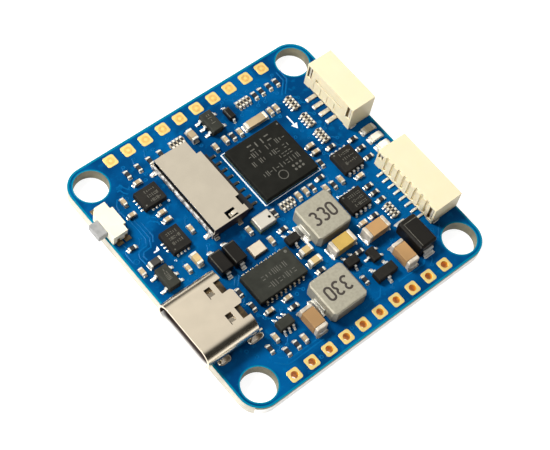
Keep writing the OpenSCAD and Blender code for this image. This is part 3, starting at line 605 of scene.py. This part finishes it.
def dress_housings():
    """Cream nylon, browner inside the small openings of the back face."""
    for name, width in (("eight_pin_housing", 0.06), ("four_pin_housing", 0.07)):
        low, high = box_mm(name)

        def opening(centre, normal, name=name, low=low, high=high):
            if not low.x + 0.1 < centre.x < low.x + 0.8 or abs(normal.z) > 0.5 and centre.z > high.z - 0.1:
                return 0
            beside_end = min(centre.y - low.y, high.y - centre.y)
            if 0.15 < beside_end < 1.05 and centre.z > BOARD_TOP + 0.3:
                return 1
            if normal.x > -0.5:
                return 0
            under = centre.x > low.x + 0.1 and centre.z < BOARD_TOP + 0.25
            return 1 if under or name == "four_pin_housing" and centre.x > low.x + 0.24 else 0
        dress(name, [MATS["nylon"], MATS["shaded_nylon"]], width, chooser=opening)


def dress_inductor_cores():
    """Pressed alloy, browner on the side that faces the wire holes: that side is painted shade."""
    dress("inductor_cores", [MATS["ferrite"], MATS["ferrite_painted_shade"]], 0.07,
          chooser=lambda centre, normal: 1 if normal.y < -0.8 else 0)


def dress_capacitors():
    """Most ceramic blocks are tan; one large block is yellow, and some medium ones khaki or paler."""
    dress("large_capacitors", [MATS["tan"], MATS["yellow"]], 0.05,
          chooser=lambda centre, normal: 1 if centre.x < 5 and centre.x > 0 else 0)
    dress("medium_capacitors", [MATS["khaki"], MATS["tan_small"]], 0.03,
          chooser=lambda centre, normal: 1 if centre.y > 10 else 0)


def dress_leds():
    """The light nearest the four-pin connector has an amber resin, the others a cream one."""
    low, high = box_mm("status_leds")
    dress("status_leds", [MATS["led"], MATS["amber_led"]], 0.08,
          chooser=lambda centre, normal: 1 if centre.y > high.y - 1.0 else 0)


def array_elements():
    """Dark glass over the four elements of each resistor array, and over no gap between them."""
    bm = bmesh.new()
    top = box_mm("resistor_arrays")[1].z
    for low, high in islands("resistor_arrays"):
        middle = (low + high) / 2
        upright = high.y - low.y > high.x - low.x
        half_x, half_y = (0.2, 0.17) if upright else (0.17, 0.2)
        for i in (-1.5, -0.5, 0.5, 1.5):
            x = middle.x + (0 if upright else i * 0.5)
            y = middle.y + (i * 0.5 if upright else 0)
            prism(bm, [(x - half_x, y - half_y), (x + half_x, y - half_y),
                       (x + half_x, y + half_y), (x - half_x, y + half_y)], top, 0.012, 0.92)
    add_piece("array_elements", bm, [MATS["film"]])


def pad_centres():
    """A deeper gold ring of painted shade in the middle of the top pads, round a point of the pads' own gold."""
    deep = bmesh.new()
    pale = bmesh.new()
    for low, high in islands("top_edge_pads"):
        middle = (low + high) / 2
        ribbon(deep, arc(middle.x, middle.y, 0.36, 0, 360, 20)[:-1], 0.3, high.z, 0.006, closed=True, ease=0.7)
        disc(pale, middle.x + 0.05, middle.y + 0.05, 0.16, high.z, 0.005)
    add_piece("pad_rings", deep, [MATS["pad_ring_painted_shade"]])
    add_piece("pad_points", pale, [MATS["gold"]])


# ---------------------------------------------------------------- solder

TWO_ENDED = {
    "resistor_terminals": ("resistors", 0.2, 0.85), "small_capacitor_terminals": ("small_capacitors", 0.18, 0.7),
    "medium_capacitor_terminals": ("medium_capacitors", 0.22, 0.42),
    "large_capacitor_terminals": ("large_capacitors", 0.3, 0.36),
    "ferrite_bead_terminals": ("ferrite_bead", 0.16, 0.5),
    "resistor_array_terminals": ("resistor_arrays", 0.2, 0.7),
    "status_led_terminals": ("status_leds", 0.3, 0.7),
    "inductor_terminals": ("inductor_cores", 0.35, 0.75),
}
LEADED = {
    "display_chip_leads": ("display_chip", 0.05, 0.08), "power_chip_leads": ("power_chips", 0.06, 0.1),
    "small_regulator_leads": ("small_regulators", 0.16, 0.15), "transistor_leads": ("transistors", 0.16, 0.15),
    "diode_leads": ("diodes", 0.18, 0.15), "power_diode_leads": ("power_diode", 0.18, 0.15),
    "eight_pin_contacts": ("eight_pin_housing", 0.14, 0.13), "four_pin_contacts": ("four_pin_housing", 0.16, 0.15),
}


def outward(box, bodies):
    """Direction from the nearest body to a terminal that lies beside it."""
    middle = (box[0] + box[1]) / 2

    def gap(body):
        return sum(max(body[0][a] - middle[a], 0, middle[a] - body[1][a]) ** 2 for a in (0, 1))
    body = min(bodies, key=gap)
    beyond = [(middle.x - body[1].x, (1, 0)), (body[0].x - middle.x, (-1, 0)),
              (middle.y - body[1].y, (0, 1)), (body[0].y - middle.y, (0, -1))]
    return max(beyond)[1]


def end_point(box, out):
    """Middle of a terminal's outer end, at board level, and its width across."""
    low, high = box
    x = high.x if out[0] > 0 else low.x if out[0] < 0 else (low.x + high.x) / 2
    y = high.y if out[1] > 0 else low.y if out[1] < 0 else (low.y + high.y) / 2
    across = high.y - low.y if out[0] else high.x - low.x
    return Vector((x, y, BOARD_TOP)), across


def solder_joints():
    """Fillets at every terminal and lead; returns the places where a track may start."""
    bm = bmesh.new()
    starts = []
    for name, (body, reach, share) in TWO_ENDED.items():
        bodies = islands(body)
        for box in islands(name):
            out = outward(box, bodies)
            foot, across = end_point(box, out)
            tall = (box[1].z - BOARD_TOP) * share
            mound(bm, foot, out, reach, across * 1.12, tall, back=0.05)
            starts.append((foot, out, reach))
    for name, (body, reach, tall) in LEADED.items():
        bodies = islands(body)
        for box in islands(name):
            out = outward(box, bodies)
            foot, across = end_point(box, out)
            mound(bm, foot, out, reach, across * 1.15, tall, back=0.08)
            starts.append((foot, out, reach))
    sensors = islands("motion_sensors")
    for box in islands("motion_sensor_pads"):
        out = outward(box, sensors)
        foot, across = end_point(box, out)
        mound(bm, foot, out, 0.12, across * 1.2, 0.2, back=0.1)
    for box in islands("card_socket_contacts"):
        foot, across = end_point(box, (1, 0))
        mound(bm, foot, (1, 0), 0.16, across * 1.05, 0.14, back=0.12)
    add_piece("solder_joints", bm, [MATS["solder"]], smooth=60)
    return starts


def sheet_metal_joints():
    """Solder where the card cover's feet and the connectors' end plates meet the board."""
    bm = bmesh.new()
    low, high = box_mm("card_socket_shell")
    mouth = low.x + 0.02
    for y in (low.y + 1.0, high.y - 1.0):
        mound(bm, (mouth, y, BOARD_TOP), (-1, 0), 0.42, 0.6, 0.22, back=0.1)
    feet = bmesh.new()
    for x in (low.x + 0.75, low.x + 4.2):
        mound(feet, (x, low.y + 0.05, BOARD_TOP), (0, -1), 0.14, 0.7, 0.15, back=0.1)
        mound(feet, (x, high.y - 0.05, BOARD_TOP), (0, 1), 0.14, 0.7, 0.15, back=0.1)
    # The cover's foot fillets take the darker tin as painted shade.
    add_piece("cover_foot_solder", feet, [MATS["tin_in_shade"]], smooth=60)
    for name, housing in (("eight_pin_anchors", "eight_pin_housing"), ("four_pin_anchors", "four_pin_housing")):
        housing_end = box_mm(housing)[0].y
        for box in islands(name):
            out = (0, -1) if box[0].y < housing_end else (0, 1)
            foot, across = end_point(box, out)
            mound(bm, foot, out, 0.06, 0.85, 0.1, back=0.1)
    add_piece("sheet_metal_solder", bm, [MATS["solder"]], smooth=60)


def leg_solder():
    """Solder menisci round the USB shell's legs, inside their plated slots."""
    bm = bmesh.new()
    for low, high in islands("shell_leg_pads"):
        middle = (low + high) / 2
        half = (high.x - low.x) / 2
        end_r = (high.y - low.y) / 2
        rim_r = end_r - 0.09
        loop = arc(middle.x + half - end_r, middle.y, rim_r, -90, 90, 8)
        loop += arc(middle.x - half + end_r, middle.y, rim_r, 90, 270, 8)
        ribbon(bm, loop, 0.14, high.z - 0.01, 0.06, closed=True, ease=0.5)
    add_piece("leg_solder", bm, [MATS["solder"]], smooth=60)


# ---------------------------------------------------------------- tracks, vias and ink

def clear_of(boxes, x, y, margin):
    return all(not (low.x - margin < x < high.x + margin and low.y - margin < y < high.y + margin)
               for low, high in boxes)


def keep_out_boxes():
    names = ["usb_shell", "card_socket_shell", "card_socket_base", "processor_cap", "boot_switch_case",
             "eight_pin_housing", "four_pin_housing", "inductor_cores", "motion_sensors", "pressure_sensor_base",
             "crystal_base", "display_chip", "power_chips", "small_regulators", "transistors", "diodes",
             "power_diode", "resistors", "small_capacitors", "medium_capacitors", "large_capacitors",
             "resistor_arrays", "ferrite_bead", "status_leds", "top_edge_pads", "bottom_edge_pads",
             "shell_leg_pads", *TWO_ENDED, *LEADED]
    return [box for name in names for box in islands(name)]


def via(bm, x, y, r=0.19):
    ribbon(bm, arc(x, y, r, 0, 360, 14)[:-1], 0.12, BOARD_TOP, 0.018, closed=True, ease=0.4)


def tracks_and_vias(starts):
    """Copper under the mask: listed tracks in the open areas, and short ones from the joints."""
    bm = bmesh.new()
    laid = [
        [(-13.6, 12.0), (-13.95, 12.05), (-14.45, 11.4), (-14.6, 10.6), (-14.4, 9.2), (-14.3, 7.6),
         (-14.3, 6.2), (-14.8, 5.35), (-15.9, 5.3), (-16.3, 4.7), (-16.25, 3.5)],
        [(-13.95, 9.2), (-13.85, 7.6), (-13.85, 6.0), (-14.5, 4.95), (-15.5, 4.9), (-15.85, 4.5), (-15.8, 3.9)],
        [(-13.45, 8.2), (-13.4, 6.0), (-13.9, 5.3)],
        [(-13.0, 13.35), (-12.5, 13.45), (-12.3, 12.9), (-12.0, 12.4), (-11.7, 12.7)],
        [(-13.3, 12.9), (-12.9, 12.9), (-12.75, 12.4), (-12.4, 11.95)],
        [(-13.1, 7.65), (-12.5, 7.65), (-11.9, 7.1), (-11.9, 6.6)],
        [(-12.3, -14.3), (-11.2, -15.4), (-6, -15.4)],
        [(-11.6, -14.0), (-10.7, -14.95), (-6.6, -14.95)],
        [(-3.2, -4.9), (-3.2, -3.6), (-2.6, -3.0)],
        [(-8.7, -3.4), (-8.7, -3.8), (-9.6, -4.7)],
        [(-9.2, -3.3), (-9.2, -3.7), (-9.9, -4.4)],
        [(11.0, 12.2), (12.6, 13.8), (12.6, 15.2)],
        [(11.5, 12.1), (13.1, 13.7), (13.1, 15.2)],
        [(13.2, -13.8), (14.6, -12.4), (14.6, -12.2)],
        [(5.6, -15.2), (9.5, -15.2), (10.4, -14.6)],
        [(0.2, -15.3), (2.6, -15.3), (3.4, -14.5)],
        [(-16.8, 7.0), (-16.8, 6.4), (-17.3, 5.9), (-17.3, 4.4)],
    ]
    for route in laid:
        ribbon(bm, route, 0.2, BOARD_TOP, 0.022, ease=0.35)
    ribbon(bm, arc(-16.9, 4.4, 0.32, 0, 360, 16)[:-1], 0.14, BOARD_TOP, 0.022, closed=True, ease=0.4)
    boxes = keep_out_boxes()
    rng = random.Random(7)
    vias = [(-16.9, 4.4)]
    laid_points = [Vector(a).lerp(Vector(b), k / 6) for route in laid for a, b in zip(route, route[1:])
                   for k in range(7)]

    def free(x, y, margin):
        return (clear_of(boxes, x, y, margin) and max(abs(x), abs(y)) < BOARD_HALF - 0.7
                and math.hypot(abs(x) - HOLE_OFFSET, abs(y) - HOLE_OFFSET) > HOLE_R + 0.6
                and all(math.hypot(x - p.x, y - p.y) > 0.42 for p in laid_points)
                and all(math.hypot(x - vx, y - vy) > 0.55 for vx, vy in vias))
    for foot, out, reach in starts:
        if rng.random() > 0.5:
            continue
        ahead = Vector((out[0], out[1]))
        turn = rng.choice((-1, 1))
        slant = (ahead + Vector((-ahead.y, ahead.x)) * turn).normalized()
        begin = Vector((foot.x, foot.y)) + ahead * (reach - 0.05)
        knee = begin + ahead * rng.uniform(0.15, 0.4)
        end = knee + slant * rng.uniform(0.3, 0.9)
        if all(free(p.x, p.y, 0.12) for p in (knee, (knee + end) / 2, end)) and free(end.x, end.y, 0.28):
            ribbon(bm, [tuple(begin), tuple(knee), tuple(end)], 0.15, BOARD_TOP, 0.018, ease=0.4)
            via(bm, end.x, end.y)
            vias.append((end.x, end.y))
    for _ in range(500):
        x = rng.uniform(-17, 17)
        y = rng.uniform(-17, 17)
        if len(vias) < 95 and free(x, y, 0.45):
            via(bm, x, y)
            vias.append((x, y))
    add_piece("tracks_and_vias", bm, [MATS["relief"]], smooth=50)


def board_ink():
    """White print on the board: the processor's frame, a plain arrow, a corner mark and dots."""
    bm = bmesh.new()
    low, high = box_mm("processor_cap")
    x0, y0, x1, y1 = low.x - 0.12, low.y - 0.1, high.x + 0.33, high.y + 0.35
    ribbon(bm, [(x0, y1), (x0, y0)], 0.17, BOARD_TOP)
    ribbon(bm, [(x0, y0), (x1, y0), (x1, y1), (x0, y1)], 0.09, BOARD_TOP)
    x, y = high.x + 1.9, high.y - 0.55
    ribbon(bm, [(x, y + 0.6), (x, y - 0.8)], 0.2, BOARD_TOP)
    prism(bm, [(x - 0.45, y - 0.75), (x, y - 1.5), (x + 0.45, y - 0.75)], BOARD_TOP, INK)
    for low, high in islands("motion_sensors"):
        if high.y < 6:
            x, y = low.x - 1.15, high.y - 1.1
            ribbon(bm, [(x - 0.35, y - 0.15), (x + 0.4, y - 0.15)], 0.16, BOARD_TOP)
            prism(bm, [(x, y - 0.05), (x + 0.42, y - 0.05), (x + 0.42, y + 0.32)], BOARD_TOP, INK)
    for x, y in ((-9.15, 8.6), (-13.25, 2.0), (7.2, -2.6)):
        disc(bm, x, y, 0.16, BOARD_TOP)
    add_piece("board_ink", bm, [MATS["ink"]])


MARKS = (
    [[(0.5, 0), (0.5, 1)]],
    [[(0, 0.25), (1, 0.25)], [(0, 0.8), (1, 0.8)]],
    [[(0, 0.5), (1, 0.5)]],
    [[(0.1, 0), (0.1, 1)], [(0.8, 0), (0.8, 1)]],
    [[(0.5, 0.2), (0.5, 0.8)]],
)


def mark_row(bm, rng, start, along, up, cells, tall, z, stroke=0.09, gaps=()):
    """A row of bars and dashes in place of lettering. Strokes never meet, so none forms a letter."""
    start = Vector(start)
    along = Vector(along)
    up = Vector(up)
    step = tall * 0.72
    for i in range(cells):
        if i in gaps:
            continue
        corner = start + along * step * i
        for line in MARKS[rng.randrange(len(MARKS))]:
            points = [tuple(corner + along * u * step * 0.7 + up * v * tall) for u, v in line]
            ribbon(bm, points, stroke, z, 0.006)


def processor_marks():
    """Rows of generic strokes, an empty ring, a block of six dots and the dot at the first ball."""
    bm = bmesh.new()
    rng = random.Random(3)
    low, high = box_mm("processor_cap")
    z = high.z
    along, up = (-1, 0), (0, -1)
    rows = (
        (2.2, 0.75, 4, 1.2, 0.17, ()),
        (0.76, 2.0, 11, 0.7, 0.1, (3, 6)),
        (0.95, 3.05, 11, 0.7, 0.1, (2, 6, 9)),
        (1.27, 3.95, 4, 0.7, 0.1, ()),
        (0.92, 4.9, 11, 0.7, 0.1, ()),
    )
    for across, drop, cells, tall, stroke, gaps in rows:
        mark_row(bm, rng, (high.x - across, high.y - drop), along, up, cells, tall, z, stroke, gaps)
    x, y = high.x - 4.2, high.y - 6.4
    ribbon(bm, arc(x, y, 0.58, 0, 360, 20)[:-1], 0.1, z, 0.006, closed=True)
    for column in range(3):
        for row in range(2):
            disc(bm, high.x - 1.4 - 0.55 * column, high.y - 6.15 - 0.55 * row, 0.17, z, 0.006)
    disc(bm, high.x - 0.35, high.y - 0.55, 0.13, z, 0.006)
    add_piece("processor_marks", bm, [MATS["laser"]])


def display_chip_marks():
    bm = bmesh.new()
    rng = random.Random(11)
    low, high = box_mm("display_chip")
    z = high.z
    mark_row(bm, rng, (high.x - 1.5, high.y - 1.3), (-1, 0), (0, -1), 7, 0.72, z, 0.09)
    mark_row(bm, rng, (high.x - 1.0, high.y - 2.5), (-1, 0), (0, -1), 8, 0.72, z, 0.09)
    disc(bm, high.x - 0.55, high.y - 0.5, 0.2, z, 0.006)
    add_piece("display_chip_marks", bm, [MATS["laser"]])


def small_chip_marks():
    """Faint rows on the sensors, converters and regulators."""
    bm = bmesh.new()
    rng = random.Random(5)
    for low, high in islands("motion_sensors"):
        for row in range(3):
            mark_row(bm, rng, (high.x - 0.5, high.y - 0.45 - 0.65 * row), (-1, 0), (0, -1), 5, 0.42, high.z, 0.07)
        disc(bm, low.x + 0.35, low.y + 0.35, 0.1, high.z, 0.006)
    for low, high in islands("power_chips"):
        for row in range(3):
            mark_row(bm, rng, (high.x - 0.45, high.y - 0.5 - 0.65 * row), (-1, 0), (0, -1), 6, 0.42, high.z, 0.07)
        disc(bm, low.x + 0.35, high.y - 0.35, 0.12, high.z, 0.006)
    for low, high in islands("small_regulators"):
        if high.y - low.y > high.x - low.x:
            mark_row(bm, rng, ((low.x + high.x) / 2 - 0.25, high.y - 0.5), (0, -1), (1, 0), 4, 0.55, high.z, 0.07)
    add_piece("small_chip_marks", bm, [MATS["faint_laser"]])


def digit_strokes(digit):
    """Strokes of a narrow numeral in a box 0.8 wide and 1.6 tall, centred on the origin."""
    if digit == "0":
        return [(arc(0, 0.4, 0.36, 0, 180, 8) + arc(0, -0.4, 0.36, 180, 360, 8), True)]
    upper = arc(0, 0.42, 0.34, 150, -60, 10)
    lower = arc(0, -0.40, 0.38, 60, -150, 10)
    return [(upper + lower, False)]


def inductor_digits():
    bm = bmesh.new()
    top = box_mm("inductor_cores")[1].z
    for low, high in islands("inductor_cores"):
        if high.z < top - 0.01:
            continue
        middle = (low + high) / 2
        turn = math.radians(0 if middle.x > 0 else 180)
        for i, digit in enumerate("330"):
            for points, closed in digit_strokes(digit):
                placed = []
                for x, y in points:
                    u, v = x * 1.1 + (i - 1) * 1.22, y * 1.08
                    placed.append((middle.x + u * math.cos(turn) - v * math.sin(turn),
                                   middle.y + u * math.sin(turn) + v * math.cos(turn)))
                ribbon(bm, placed, 0.28, high.z, 0.008, closed=closed)
    add_piece("inductor_digits", bm, [MATS["dark_ink"]])


def diode_bands_and_painted_highlights():
    # Each L: the stroke across the +Y end is the printed cathode band; the stroke along the -X long edge is a
    # painted highlight of the moulded edge.
    bm = bmesh.new()
    low, high = box_mm("power_diode")
    ribbon(bm, [(high.x - 0.25, high.y - 0.62), (low.x + 0.42, high.y - 0.62), (low.x + 0.42, low.y + 0.25)],
           0.08, high.z, 0.006)
    for low, high in islands("diodes"):
        ribbon(bm, [(high.x - 0.12, high.y - 0.16), (low.x + 0.16, high.y - 0.16), (low.x + 0.16, low.y + 0.12)],
               0.05, high.z, 0.006)
    add_piece("diode_bands_and_painted_highlights", bm, [MATS["faint_laser"]])


def floor():
    bm = bmesh.new()
    bmesh.ops.create_grid(bm, x_segments=2, y_segments=2, size=1500)
    material, tree, shader = new_material("floor")
    shader.inputs["Base Color"].default_value = (0.35, 0.35, 0.35, 1)
    shader.inputs["Roughness"].default_value = 0.9
    shader.inputs["Specular IOR Level"].default_value = 0.1
    shader.inputs["Emission Color"].default_value = (1, 1, 1, 1)
    shader.inputs["Emission Strength"].default_value = 0.9
    sheet = add_piece("floor", bm, [material], body=None)
    sheet.location.z = -0.02 * MM


MATS = make_materials()
make_camera()
make_light()
floor()
dress_plain_nodes()
dress_board()
dress_edge_holes()
dress_usb_shell()
dress_card_shell()
dress_housings()
dress_inductor_cores()
dress_capacitors()
dress_leds()
array_elements()
pad_centres()
joint_places = solder_joints()
sheet_metal_joints()
leg_solder()
tracks_and_vias(joint_places)
board_ink()
processor_marks()
display_chip_marks()
small_chip_marks()
inductor_digits()
diode_bands_and_painted_highlights()
